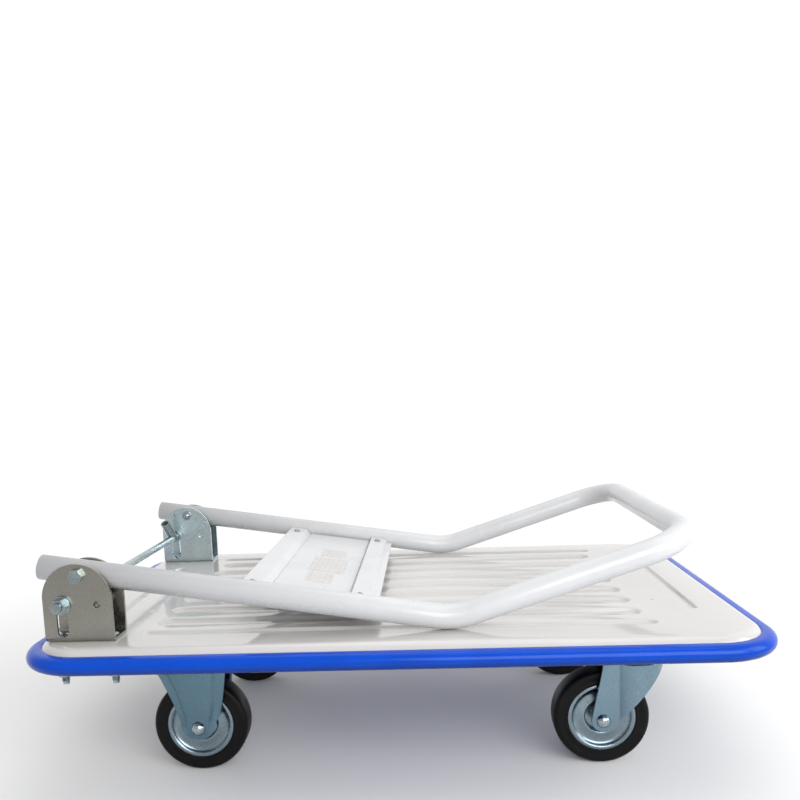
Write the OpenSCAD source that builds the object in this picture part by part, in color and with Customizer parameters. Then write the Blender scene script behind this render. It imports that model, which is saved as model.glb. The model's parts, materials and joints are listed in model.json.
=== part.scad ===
// Folding platform cart: a pressed steel deck on four casters, with a tube handle that folds down.
// X runs along the deck from the hinged end to the free end, Y across it and Z up from the floor.
// The near side is -Y. The cart stands on z = 0 and is drawn with its handle folded down.

/* [Deck] */
// Length over the bumper
deck_l = 740; // [730:5:760]
// Width over the bumper
deck_w = 480; // [475:5:500]
// Corner radius over the bumper
corner_r = 66; // [60:1:75]
// Height of the deck's top face above the floor
deck_top = 161.5; // [161:0.5:163]
// Thickness of the pressed sheet
sheet_t = 2; // [1.5:0.25:2.5]
// Radius of the rolled edge
edge_r = 13; // [11:0.5:15]
// Depth of the pressed ribs
rib_depth = 3; // [2:0.25:3]
// Width of a long rib
rib_w = 22; // [16:1:26]
// Length of a long rib
rib_l = 500; // [400:10:520]
// Distance between long ribs
rib_pitch = 45; // [40:1:46]

/* [Bumper] */
// How far the bumper stands out from the pan
bumper_t = 13; // [11:0.5:15]
// Height of the bumper
bumper_h = 17; // [15:0.5:19]
// Height of the bumper's bottom edge above the floor
bumper_z = 138.8; // [137:0.2:140]

/* [Hinge brackets] */
// Place of the brackets along the deck
bracket_x = -309; // [-312:1:-300]
// Width of a bracket along the deck
bracket_w = 68.6; // [66:0.2:72]
// Height of a bracket above the deck
bracket_h = 78.2; // [76:0.2:82]
// Thickness of the bracket plate
bracket_t = 3; // [2.5:0.25:3.5]
// Height of the handle pivot above the deck
pivot_h = 66.6; // [66:0.2:68]
// Offset of the pivot from the bracket's middle
pivot_dx = 1.5; // [0:0.5:2]

/* [Handle] */
// Outside radius of the handle tube
tube_r = 12.5; // [12:0.1:12.7]
// Wall of the handle tube
tube_wall = 1.5; // [1.2:0.1:2]
// Distance from the cart's middle to the middle of each leg
leg_y = 183; // [180:1:186]
// Length of the leg from the pivot to the bend
leg_lower = 369.7; // [360:0.1:375]
// Length from the bend to the push bar
leg_upper = 245; // [230:1:260]
// Length of the tube end behind the pivot
tube_tail = 42; // [36:0.5:42]
// Angle of the bend between the two lengths
dogleg = 26.5; // [20:0.5:30]
// Radius of that bend
dogleg_r = 80; // [60:5:100]
// Radius of the corners at the push bar
grip_r = 50; // [45:1:60]
// Downward slope of the legs when folded
rest_slope = 8.66; // [8.6:0.01:9]

/* [Lock] */
// Radius of the lock rod
rod_r = 4.5; // [4:0.1:4.5]
// Distance of the rod behind the pivot
rod_dx = 17.5; // [17.4:0.1:18]
// Distance of the raised rod below the pivot
rod_drop = 29; // [28.8:0.1:30]
// Travel of the rod down its slots
rod_travel = 27.6; // [27:0.1:28]

/* [Casters] */
// Wheel radius over the tyre
wheel_r = 50; // [48:0.5:50]
// Half the width of the tyre
tyre_half = 14; // [12:0.5:15]
// Distance of the wheels from the cart's middle
wheel_y = 130; // [126:1:134]
// Place of the rigid wheels' axle along the deck
rigid_x = -213; // [-215:1:-211]
// Place of the swivel pins along the deck
king_x = 246; // [244:1:248]
// Distance of a swivel wheel's axle behind its pin
trail = 36; // [32:1:38]
// Height of the caster plates' top above the floor
mount_z = 129; // [128:0.5:129.5]

/* [Hidden] */
$fn = 72;

enamel = "#e6e1dd";
powder_coat = "#e4e5e8";
zinc = "#aeb9bd";
blue_vinyl = "#0044cc";
rubber = "#1d1d1e";
label_white = "#f4f3ef";

eps = 0.05;           // gap left between two pieces that bear on each other
play = 0.3;           // gap left between pieces that slide past each other
cut = 60;             // more than the depth of any cut

// Deck
pan_l = deck_l - 2 * bumper_t;
pan_w = deck_w - 2 * bumper_t;
pan_r = corner_r - bumper_t;
edge_z = deck_top - edge_r;
skirt_z = bumper_z + 2.5;
ribs_a_side = 3;
side_rib_y = 173;
side_rib_w = 12;
side_rib_l = rib_l + 14;
end_groove_x = 308;
end_groove_l = 256;
end_groove_w = 7;
dimple_x = 274;
dimple_y = 92;
dimple_r = 1.6;

// Channels welded under the deck
channel_t = 2;
channel_l = 410;
bracket_channel_w = 66;
caster_channel_w = 94;
rigid_plate_x = rigid_x - 6;

// Fasteners, M8 unless named
m8_r = 4;
m8_hole_r = 4.5;
m8_flats = 13;
m8_head_h = 5.3;
m8_nut_h = 6.5;
bracket_bolt_dx = 25.5;
bracket_bolt_z = 114;
mushroom_r = 6.5;
mushroom_h = 3;

// Bracket
ear_out = tube_r + 1.5 + bracket_t;
ear_in = ear_out - bracket_t;
bend_r = 5;
pivot_x = bracket_x + pivot_dx;
pivot_z = deck_top + pivot_h;
pivot_r = 4.05;
stop_dx = 18;
stop_r = 5;
stop_depth = 4;
stop_wall = 1.5;

// Lock rod
rod_x = pivot_x - rod_dx;
rod_z = pivot_z - rod_drop;
slot_r = rod_r + 1;
slot_end = 0.6;       // how much nearer the slot's arc centres are than the rod's own places
washer_r = 9.5;
washer_t = 1.5;
rod_flats = 14;
rod_tip = 2;
collar_r = 8;
collar_t = 3;
peg_r = 6.25;
peg_l = 30;
peg_y = 153;
peg_lean = 36;
peg_back = 9;
spring_y = ear_out + 4.2;
spring_coil_r = 3.2;
spring_wire_r = 0.6;
spring_top_z = rod_z + 30;
spring_turns = 11;
spring_pitch = 2 * spring_wire_r - 0.1;
coil_low_z = rod_z + 11;
coil_high_z = coil_low_z + (spring_turns - 1) * spring_pitch;

// Handle: places along the lower leg are measured from the pivot
dogleg_cut = dogleg_r * tan(dogleg / 2);
bend_inset = 0.03;
bend_into = 1;
sleeve_r = 6;
strip_t = 1.5;
bar_lo = 150;
bar_hi = 293;
screw_u = [161, 273];
screw_y = 147;
panel_z = -5;
screw_r = 2.5;
screw_head_r = 4.7;
screw_head_h = 3;

// Casters
fork_in = 19;
fork_t = 3;
fork_out = fork_in + fork_t;
plate_t = 3.5;
plate_l = 92;
plate_w = 78;
plate_bolt_x = 34;
plate_bolt_y = 30;
axle_r = 5;
axle_head_r = 7.5;
axle_head_h = 5.5;
axle_flats = 15;
axle_nut_h = 7;
crown_r = 29.5;
crown_z = 111;
race_r = 20.5;
race_plate_r = 27;
race_ring_r = 25.5;
ball_r = 3;
ball_z = 115.6;
balls = 18;
king_r = 6;
rim_r = 35.5;
hub_r = 9;

// ---- helpers -------------------------------------------------------------------------------

// Draws a near-side piece on both sides of the cart.
module both_sides() {
    children();
    mirror([0, 1, 0]) children();
}

// Draws its child at each corner of a rectangle centred on the origin.
module at_corners(dx, dy) {
    for (sx = [-1, 1], sy = [-1, 1]) translate([sx * dx, sy * dy, 0]) children();
}

module round_rect(l, w, r) {
    square([l - 2 * r, w], center = true);
    square([l, w - 2 * r], center = true);
    at_corners(l / 2 - r, w / 2 - r) circle(r);
}

module stadium(l, w) {
    square([l - w, w], center = true);
    for (s = [-1, 1]) translate([s * (l - w) / 2, 0]) circle(w / 2);
}

// Sweeps a section round a rounded rectangle; the section's x = 0 is the rectangle's edge.
module around(l, w, r) {
    for (k = [0:3]) {
        sx = (k == 0 || k == 3) ? 1 : -1;
        sy = (k < 2) ? 1 : -1;
        translate([sx * (l / 2 - r), sy * (w / 2 - r), 0])
            rotate([0, 0, 90 * k]) rotate_extrude(angle = 90) translate([r, 0]) children();
    }
    for (s = [-1, 1]) {
        rotate([0, 0, 90 - s * 90]) translate([l / 2, 0, 0])
            rotate([90, 0, 0]) linear_extrude(w - 2 * r, center = true) children();
        rotate([0, 0, s * 90]) translate([w / 2, 0, 0])
            rotate([90, 0, 0]) linear_extrude(l - 2 * r, center = true) children();
    }
}

module hexagon(flats) {
    circle(r = flats / sqrt(3), $fn = 6);
}

module hex_nut(flats, h, bore_r) {
    difference() {
        linear_extrude(h) hexagon(flats);
        translate([0, 0, -1]) cylinder(r = bore_r, h = h + 2);
    }
}

module ring(outer, inner, h) {
    difference() {
        cylinder(r = outer, h = h);
        translate([0, 0, -1]) cylinder(r = inner, h = h + 2);
    }
}

// A low domed head, flat side down on z = 0.
module dome(r, h) {
    ball = (r * r + h * h) / (2 * h);
    intersection() {
        translate([0, 0, h - ball]) sphere(ball);
        cylinder(r = r, h = h);
    }
}

// Turns a piece drawn along +Z to point along -Y, out of the near side.
module outward() {
    rotate([90, 0, 0]) children();
}

// ---- deck ----------------------------------------------------------------------------------

module pan_edge() {
    translate([-sheet_t, skirt_z]) square([sheet_t, edge_z - skirt_z]);
    translate([-edge_r, edge_z]) intersection() {
        difference() {
            circle(edge_r);
            circle(edge_r - sheet_t);
        }
        square(edge_r);
    }
}

// Draws its children, plan shapes, where the deck is pressed down; grow widens them.
module pressed_shapes(grow) {
    for (k = [-ribs_a_side:ribs_a_side])
        translate([0, k * rib_pitch]) stadium(rib_l + grow, rib_w + grow);
    for (s = [-1, 1]) {
        translate([0, s * side_rib_y]) stadium(side_rib_l + grow, side_rib_w + grow);
        translate([s * end_groove_x, 0]) rotate(90) stadium(end_groove_l + grow, end_groove_w + grow);
    }
}

// The part of the pan inside its rolled edge.
module flat_outline() {
    round_rect(pan_l - 2 * edge_r, pan_w - 2 * edge_r, pan_r - edge_r);
}

module bracket_bolt_places() {
    for (sx = [-1, 1], sy = [-1, 1])
        translate([bracket_x + sx * bracket_bolt_dx, sy * leg_y, 0]) children();
}

module deck_pan() {
    color(enamel) difference() {
        union() {
            around(pan_l, pan_w, pan_r) pan_edge();
            translate([0, 0, deck_top - sheet_t]) linear_extrude(sheet_t) flat_outline();
            translate([0, 0, deck_top - rib_depth - sheet_t])
                linear_extrude(rib_depth) pressed_shapes(2 * sheet_t);
        }
        translate([0, 0, deck_top - rib_depth]) linear_extrude(rib_depth + 1) pressed_shapes(0);
        translate([0, 0, deck_top - sheet_t / 2])
            at_corners(dimple_x, dimple_y) cylinder(r = dimple_r, h = sheet_t);
        bracket_bolt_places() translate([0, 0, deck_top - cut / 2]) cylinder(r = m8_hole_r, h = cut);
    }
}

module bumper_section() {
    nose_r = bumper_h / 2;
    lip = 4;
    translate([eps, bumper_z]) square([bumper_t - nose_r - eps, bumper_h]);
    intersection() {
        translate([bumper_t - nose_r, bumper_z + nose_r]) circle(nose_r);
        translate([eps, bumper_z]) square([bumper_t, bumper_h]);
    }
    translate([-lip, bumper_z]) square([lip + 1, skirt_z - bumper_z - eps]);
    difference() {
        translate([-2.2, edge_z]) square([3.2, bumper_z + bumper_h - edge_z]);
        translate([-edge_r, edge_z]) circle(edge_r + eps);
    }
}

module bumper_strip() {
    color(blue_vinyl) around(pan_l, pan_w, pan_r) bumper_section();
}

// A U channel across the cart, open upwards.
module channel(w, top_z) {
    translate([-w / 2, -channel_l / 2, mount_z]) difference() {
        cube([w, channel_l, top_z - mount_z]);
        translate([channel_t, -1, channel_t]) cube([w - 2 * channel_t, channel_l + 2, cut]);
    }
}

// Its corners are trimmed to the flat part of the pan.
module bracket_channel() {
    color(enamel) difference() {
        intersection() {
            translate([bracket_x, 0, 0]) channel(bracket_channel_w, deck_top - sheet_t);
            linear_extrude(deck_top) flat_outline();
        }
        bracket_bolt_places() translate([0, 0, mount_z - 1]) cylinder(r = m8_hole_r, h = channel_t + 2);
    }
}

module caster_channel(x) {
    color(enamel) difference() {
        translate([x, 0, 0]) channel(caster_channel_w, deck_top - sheet_t - rib_depth);
        both_sides() translate([x, -wheel_y, mount_z - 1])
            at_corners(plate_bolt_x, plate_bolt_y) cylinder(r = m8_hole_r, h = channel_t + 2);
    }
}

module rigid_caster_channel() {
    caster_channel(rigid_plate_x);
}

module swivel_caster_channel() {
    caster_channel(king_x);
}

// ---- hinge brackets ------------------------------------------------------------------------

module u_section() {
    difference() {
        union() {
            translate([-ear_out, bend_r]) square([2 * ear_out, bracket_h]);
            translate([bend_r - ear_out, 0]) square([2 * (ear_out - bend_r), bend_r]);
            for (s = [-1, 1]) translate([s * (ear_out - bend_r), bend_r]) circle(bend_r);
        }
        translate([-ear_in, bend_r]) square([2 * ear_in, bracket_h + 1]);
        translate([bend_r - ear_out, bracket_t]) square([2 * (ear_out - bend_r), bend_r]);
        for (s = [-1, 1]) translate([s * (ear_out - bend_r), bend_r]) circle(bend_r - bracket_t);
    }
}

module ear_outline() {
    translate([-bracket_w / 2, 0]) square([bracket_w, bracket_h - bracket_w / 2]);
    translate([0, bracket_h - bracket_w / 2]) circle(bracket_w / 2);
}

module slot_outline() {
    low = rod_z - rod_travel + slot_end;
    high = rod_z - slot_end;
    for (z = [low, high]) translate([rod_x, z]) circle(slot_r);
    translate([rod_x - slot_r, low]) square([2 * slot_r, high - low]);
}

module bracket() {
    stop_x = pivot_x + stop_dx;
    translate([0, -leg_y, 0]) difference() {
        union() {
            translate([bracket_x, 0, deck_top]) intersection() {
                rotate([90, 0, 90]) linear_extrude(bracket_w, center = true) u_section();
                rotate([90, 0, 0]) linear_extrude(2 * ear_out + 2, center = true) ear_outline();
            }
            for (s = [0, 1]) mirror([0, s, 0])
                translate([stop_x, ear_in + 0.5, rod_z]) outward() cylinder(r = stop_r, h = stop_depth);
        }
        rotate([90, 0, 0]) linear_extrude(cut, center = true) slot_outline();
        translate([pivot_x, cut / 2, pivot_z]) outward() cylinder(r = pivot_r + eps, h = cut);
        for (s = [0, 1]) mirror([0, s, 0]) translate([stop_x, ear_out + 1, rod_z])
            outward() cylinder(r = stop_r - stop_wall, h = stop_depth + stop_wall + 0.5);
        for (s = [-1, 1]) translate([bracket_x + s * bracket_bolt_dx, 0, deck_top - 1])
            cylinder(r = m8_hole_r, h = bracket_t + 2);
        translate([rod_x, ear_in - 1, spring_top_z])
            rotate([-90, 0, 0]) cylinder(r = 2 * spring_wire_r, h = bracket_t + 2);
    }
}

module bracket_near() {
    color(zinc) bracket();
}

module bracket_far() {
    color(zinc) mirror([0, 1, 0]) bracket();
}

module bracket_bolts() {
    head_z = deck_top + bracket_t;
    color(zinc) bracket_bolt_places() {
        translate([0, 0, bracket_bolt_z]) cylinder(r = m8_r, h = head_z - bracket_bolt_z);
        translate([0, 0, head_z]) dome(mushroom_r, mushroom_h);
    }
}

module bracket_nuts() {
    color(zinc) bracket_bolt_places()
        translate([0, 0, mount_z - m8_nut_h]) hex_nut(m8_flats, m8_nut_h, m8_r + eps);
}

module pivot_bolt() {
    tip = 2;
    translate([pivot_x, -leg_y - ear_out, pivot_z]) {
        outward() linear_extrude(m8_head_h) hexagon(m8_flats);
        rotate([-90, 0, 0]) cylinder(r = pivot_r, h = 2 * ear_out + tip);
        translate([0, 2 * ear_out + tip, 0]) rotate([-90, 0, 0]) dome(pivot_r, tip);
    }
}

module pivot_bolts() {
    color(zinc) both_sides() pivot_bolt();
}

module pivot_rings() {
    color(zinc) both_sides() translate([pivot_x, -leg_y + ear_out, pivot_z])
        rotate([-90, 0, 0]) ring(mushroom_r, pivot_r + eps, 1);
}

// A close-wound tension spring that lifts the rod, hooked into the near bracket.
module return_spring() {
    color(zinc) translate([rod_x, -leg_y + spring_y, 0]) {
        for (k = [0:spring_turns - 1]) translate([0, 0, coil_low_z + k * spring_pitch])
            rotate_extrude() translate([spring_coil_r, 0]) circle(spring_wire_r);
        translate([0, 0, coil_high_z]) spring_hook(spring_top_z - coil_high_z);
        translate([0, 0, coil_low_z]) mirror([0, 0, 1])
            spring_hook(coil_low_z - rod_z - rod_r - spring_wire_r);
        translate([0, 0, rod_z]) outward() rotate_extrude()
            translate([rod_r + 2 * spring_wire_r, 0]) circle(spring_wire_r);
        translate([0, 0, spring_top_z]) outward() cylinder(r = spring_wire_r, h = spring_y - ear_in);
    }
}

// The bridge across the last turn of the coil and the straight wire that leaves from its middle.
module spring_hook(reach) {
    translate([-spring_coil_r, 0, 0]) rotate([0, 90, 0]) cylinder(r = spring_wire_r, h = spring_coil_r);
    sphere(spring_wire_r);
    cylinder(r = spring_wire_r, h = reach);
}

// ---- lock rod ------------------------------------------------------------------------------

module along_rod(y) {
    translate([rod_x, y, rod_z]) outward() children();
}

module lock_rod() {
    half = leg_y + ear_out + play + washer_t + m8_nut_h + rod_tip;
    color(zinc) along_rod(half) cylinder(r = rod_r, h = 2 * half);
}

module rod_washers() {
    color(zinc) both_sides() along_rod(-leg_y - ear_out - play) ring(washer_r, rod_r + eps, washer_t);
}

module rod_nuts() {
    color(zinc) both_sides() along_rod(-leg_y - ear_out - play - washer_t)
        hex_nut(rod_flats, m8_nut_h, rod_r + eps);
}

module rod_collars() {
    color(zinc) both_sides() along_rod(-leg_y + ear_out + play + collar_t)
        ring(collar_r, rod_r + eps, collar_t);
}

// The short tube on the rod that a foot pushes down to free the handle.
module release_peg() {
    color(zinc) difference() {
        translate([rod_x, peg_y, rod_z]) rotate([peg_lean, -peg_back, 0]) difference() {
            cylinder(r = peg_r, h = peg_l);
            translate([0, 0, peg_l - 9]) cylinder(r = peg_r - 2, h = 10);
        }
        along_rod(peg_y + cut) cylinder(r = rod_r + eps, h = 2 * cut);
    }
}

// ---- handle --------------------------------------------------------------------------------

// Puts a piece drawn from the pivot along +X into its folded place.
module folded() {
    translate([pivot_x, 0, pivot_z]) rotate([0, rest_slope, 0]) children();
}

module tube_wall_section(inset) {
    difference() {
        circle(tube_r - inset);
        circle(tube_r - tube_wall + inset);
    }
}

// A straight length of tube from the origin along +X.
module tube_run(l) {
    rotate([0, 90, 0]) linear_extrude(l) tube_wall_section(0);
}

// A bend of the tube in the XY plane, from -Y round towards +X. Its wall is a little thinner than
// the straight lengths' and runs into theirs at both ends, so that they join as one solid.
module tube_bend(r, angle) {
    into = atan(bend_into / r);
    rotate([0, 0, -90 - into]) rotate_extrude(angle = angle + 2 * into)
        translate([r, 0]) tube_wall_section(bend_inset);
}

// One leg from its open end to the push bar.
module leg_run() {
    difference() {
        translate([-tube_tail, 0, 0]) tube_run(tube_tail + leg_lower - dogleg_cut);
        rotate([90, 0, 0]) cylinder(r = sleeve_r + eps, h = cut, center = true);
    }
    translate([leg_lower - dogleg_cut, 0, dogleg_r]) rotate([90, 0, 0]) tube_bend(dogleg_r, dogleg);
    translate([leg_lower, 0, 0]) rotate([0, -dogleg, 0]) {
        translate([dogleg_cut, 0, 0]) tube_run(leg_upper - dogleg_cut - grip_r);
        translate([leg_upper - grip_r, grip_r, 0]) tube_bend(grip_r, 90);
    }
}

module handle_tube() {
    color(powder_coat) folded() {
        both_sides() translate([0, -leg_y, 0]) leg_run();
        translate([leg_lower, 0, 0]) rotate([0, -dogleg, 0]) translate([leg_upper, grip_r - leg_y, 0])
            rotate([0, 0, 90]) tube_run(2 * (leg_y - grip_r));
    }
}

module pivot_sleeves() {
    half = ear_in - play;
    color(zinc) folded() both_sides() translate([0, -leg_y + half, 0])
        outward() ring(sleeve_r, pivot_r + eps, 2 * half);
}

// Extrudes a section drawn in the handle's length and height across the gap between the legs.
module across(half) {
    rotate([90, 0, 0]) linear_extrude(2 * half, center = true) children();
}

module screw_holes(u) {
    for (s = [-1, 1]) translate([u, s * screw_y, -cut / 2]) cylinder(r = screw_r + 0.25, h = cut);
}

module crossbar_lower() {
    top = strip_t;
    color(powder_coat) folded() difference() {
        across(leg_y - tube_r - 1) polygon([
            [bar_lo, -9], [bar_lo, top], [bar_lo + 20.5, top], [bar_lo + 28, panel_z],
            [bar_lo + 38, panel_z], [bar_lo + 38, panel_z - strip_t], [bar_lo + 27.3, panel_z - strip_t],
            [bar_lo + 19.8, 0], [bar_lo + strip_t, 0], [bar_lo + strip_t, -9]]);
        screw_holes(screw_u[0]);
    }
}

module crossbar_upper() {
    top = strip_t;
    ledge = -3;
    color(powder_coat) folded() difference() {
        across(leg_y - tube_r - 1) polygon([
            [bar_hi, -9], [bar_hi, ledge], [bar_hi - 6, ledge], [bar_hi - 10, top], [bar_hi - 29, top],
            [bar_hi - 31, panel_z], [bar_hi - 40, panel_z], [bar_hi - 40, panel_z - strip_t],
            [bar_hi - 29.7, panel_z - strip_t], [bar_hi - 27.9, 0], [bar_hi - 10.7, 0],
            [bar_hi - 6.7, ledge - strip_t], [bar_hi - strip_t, ledge - strip_t], [bar_hi - strip_t, -9]]);
        screw_holes(screw_u[1]);
    }
}

module back_panel() {
    lo = bar_lo + 29;
    hi = bar_hi - 32;
    color(powder_coat) folded() translate([lo, -leg_y + tube_r + 4, panel_z])
        cube([hi - lo, 2 * (leg_y - tube_r - 4), strip_t]);
}

// The three stickers lie in a row across the panel: a large one between two small ones.
module panel_labels() {
    label_t = 0.2;
    color(label_white) folded() translate([205, 0, panel_z + strip_t]) {
        translate([0, -45, 0]) cube([40, 70, label_t]);
        translate([2, -98, 0]) cube([30, 46, label_t]);
        translate([4, 32, 0]) cube([30, 40, label_t]);
    }
}

module panel_lugs() {
    lug_t = 3;
    lug_w = 14;
    lug_in = 34;
    color(powder_coat) folded() difference() {
        for (u = screw_u) both_sides()
            translate([u - lug_w / 2, -leg_y + tube_r + eps, -lug_t]) cube([lug_w, lug_in, lug_t]);
        for (u = screw_u) screw_holes(u);
    }
}

module at_screws() {
    folded() for (u = screw_u, s = [-1, 1]) translate([u, s * screw_y, 0]) children();
}

module panel_screws() {
    shank = 11;
    color(zinc) at_screws() difference() {
        union() {
            translate([0, 0, strip_t - shank]) cylinder(r = screw_r, h = shank);
            translate([0, 0, strip_t]) dome(screw_head_r, screw_head_h);
        }
        translate([0, 0, strip_t + screw_head_h]) {
            cube([5, 1, 3], center = true);
            cube([1, 5, 3], center = true);
        }
    }
}

module panel_nuts() {
    nut_h = 4;
    color(zinc) at_screws() translate([0, 0, -3 - nut_h]) hex_nut(8, nut_h, screw_r + eps);
}

// ---- casters -------------------------------------------------------------------------------

module at_wheel(x) {
    translate([x, -wheel_y, wheel_r]) children();
}

module caster_plate(x) {
    difference() {
        translate([x, -wheel_y, mount_z - plate_t]) linear_extrude(plate_t) round_rect(plate_l, plate_w, 6);
        translate([x, -wheel_y, mount_z - plate_t - 1])
            at_corners(plate_bolt_x, plate_bolt_y) cylinder(r = m8_hole_r, h = plate_t + 2);
    }
}

module rigid_leg_outline() {
    foot_r = 19;
    top = mount_z - plate_t - wheel_r;
    polygon([[-foot_r, 6.5], [-50, top], [33, top], [foot_r, 6.5]]);
    translate([0, 6.5]) circle(foot_r);
}

module axle_bores() {
    rotate([90, 0, 0]) cylinder(r = axle_r + 0.1, h = cut, center = true);
}

module rigid_fork() {
    color(zinc) union() {
        caster_plate(rigid_plate_x);
        at_wheel(rigid_x) difference() {
            for (s = [-1, 1]) translate([0, s * (fork_in + fork_t / 2), 0])
                rotate([90, 0, 0]) linear_extrude(fork_t, center = true) rigid_leg_outline();
            axle_bores();
        }
    }
}

module rigid_fork_near() {
    rigid_fork();
}

module rigid_fork_far() {
    mirror([0, 1, 0]) rigid_fork();
}

module axle_bolt(x) {
    tip = 1.5;
    at_wheel(x) {
        translate([0, -fork_out, 0]) outward() dome(axle_head_r, axle_head_h);
        translate([0, -fork_out, 0]) rotate([-90, 0, 0])
            cylinder(r = axle_r, h = 2 * fork_out + axle_nut_h + tip);
    }
}

module axle_nut(x) {
    at_wheel(x) translate([0, fork_out, 0]) rotate([-90, 0, 0]) hex_nut(axle_flats, axle_nut_h, axle_r + eps);
}

module rigid_axle_bolts() {
    color(zinc) both_sides() axle_bolt(rigid_x);
}

module rigid_axle_nuts() {
    color(zinc) both_sides() axle_nut(rigid_x);
}

module ball_track() {
    translate([0, 0, ball_z]) rotate_extrude() translate([race_r, 0]) circle(ball_r + 0.1);
}

// The fixed plate of a swivel caster, with the upper half of its ball race.
module swivel_plate() {
    race_z = ball_z + 1.4;
    color(zinc) difference() {
        union() {
            caster_plate(king_x);
            translate([king_x, -wheel_y, race_z]) cylinder(r = race_plate_r, h = mount_z - plate_t - race_z);
        }
        translate([king_x, -wheel_y, 0]) {
            ball_track();
            cylinder(r = king_r + eps, h = mount_z + 1);
        }
    }
}

module swivel_plate_near() {
    swivel_plate();
}

module swivel_plate_far() {
    mirror([0, 1, 0]) swivel_plate();
}

module swivel_kingpins() {
    head_r = 10;
    head_h = 4;
    head_z = crown_z - fork_t - play - head_h;
    color(zinc) both_sides() translate([king_x, -wheel_y, 0]) {
        translate([0, 0, head_z]) cylinder(r = head_r, h = head_h);
        translate([0, 0, head_z]) cylinder(r = king_r, h = mount_z - eps - head_z);
    }
}

module race_balls() {
    color(zinc) both_sides() translate([king_x, -wheel_y, ball_z])
        for (k = [0:balls - 1]) rotate([0, 0, k * 360 / balls]) translate([race_r, 0, 0]) sphere(ball_r);
}

// Plan of the swivel fork: a round crown about the pin with two straight legs behind it.
module fork_plan(inset) {
    circle(crown_r - inset);
    translate([-trail - 20, inset - fork_out]) square([trail + 20, 2 * (fork_out - inset)]);
}

module swivel_leg_outline() {
    top = crown_z - wheel_r;
    front = trail + crown_r;
    circle(12);
    polygon([[-11.6, 3], [0.5, top], [front + 1, top], [front + 1, top - 1], [9.2, -7.7]]);
}

module swivel_fork() {
    color(zinc) difference() {
        union() {
            intersection() {
                translate([king_x, -wheel_y, 20]) linear_extrude(crown_z - 20) fork_plan(0);
                at_wheel(king_x - trail) rotate([90, 0, 0])
                    linear_extrude(4 * crown_r, center = true) swivel_leg_outline();
            }
            translate([king_x, -wheel_y, crown_z - 1]) cylinder(r = race_ring_r, h = ball_z - 0.4 - (crown_z - 1));
        }
        translate([king_x, -wheel_y, 10]) linear_extrude(crown_z - fork_t - 10) fork_plan(fork_t);
        translate([king_x, -wheel_y, 0]) {
            ball_track();
            cylinder(r = king_r + 0.06, h = mount_z);
        }
        at_wheel(king_x - trail) axle_bores();
    }
}

module swivel_fork_near() {
    swivel_fork();
}

module swivel_fork_far() {
    mirror([0, 1, 0]) swivel_fork();
}

module swivel_axle_bolt_near() {
    color(zinc) axle_bolt(king_x - trail);
}

module swivel_axle_bolt_far() {
    color(zinc) mirror([0, 1, 0]) axle_bolt(king_x - trail);
}

module swivel_axle_nut_near() {
    color(zinc) axle_nut(king_x - trail);
}

module swivel_axle_nut_far() {
    color(zinc) mirror([0, 1, 0]) axle_nut(king_x - trail);
}

module caster_bolt_places() {
    both_sides() for (x = [rigid_plate_x, king_x]) translate([x, -wheel_y, 0])
        at_corners(plate_bolt_x, plate_bolt_y) children();
}

module caster_bolts() {
    under = mount_z - plate_t;
    color(zinc) caster_bolt_places() {
        translate([0, 0, under - m8_head_h]) linear_extrude(m8_head_h) hexagon(m8_flats);
        translate([0, 0, under]) cylinder(r = m8_r, h = plate_t + channel_t + m8_nut_h + 1);
    }
}

module caster_nuts() {
    color(zinc) caster_bolt_places()
        translate([0, 0, mount_z + channel_t]) hex_nut(m8_flats, m8_nut_h, m8_r + eps);
}

// ---- wheels: each section is drawn with x as the radius and y as the distance outward ----------

module turned() {
    outward() rotate_extrude() children();
}

module tyre() {
    shoulder = 5;
    inner = rim_r + eps;
    color(rubber) turned() {
        translate([inner, -tyre_half]) square([wheel_r - shoulder - inner, 2 * tyre_half]);
        translate([inner, shoulder - tyre_half]) square([wheel_r - inner, 2 * (tyre_half - shoulder)]);
        for (s = [-1, 1]) translate([wheel_r - shoulder, s * (tyre_half - shoulder)]) circle(shoulder);
    }
}

// One of the two pressed discs that clamp the tyre; its web is dished and its lip rolled.
module rim_half() {
    lip = tyre_half - 0.6;
    web = 10.4;
    t = 1.4;
    polygon([
        [hub_r + 0.5, 3], [16.6, 3], [16.6, web - t], [18, web], [rim_r - 5.5, web], [rim_r - 2.5, lip],
        [rim_r, lip], [rim_r, 0.1], [rim_r - t, 0.1], [rim_r - t, lip - t], [rim_r - 1.9, lip - t],
        [rim_r - 4.9, web - t], [18.6, web - t], [18, web - 2], [18, 1.6], [hub_r + 0.5, 1.6]]);
}

module rim_outer() {
    color(zinc) turned() rim_half();
}

module rim_inner() {
    color(zinc) turned() mirror([0, 1]) rim_half();
}

module hub() {
    half = fork_in - play;
    color(zinc) turned() {
        translate([axle_r + eps, -half]) square([hub_r - axle_r - eps, 2 * half]);
        translate([hub_r - 1, -1.5]) square([8, 3]);
    }
}

module near_wheel(x) {
    at_wheel(x) children();
}

module far_wheel(x) {
    mirror([0, 1, 0]) at_wheel(x) children();
}

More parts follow.
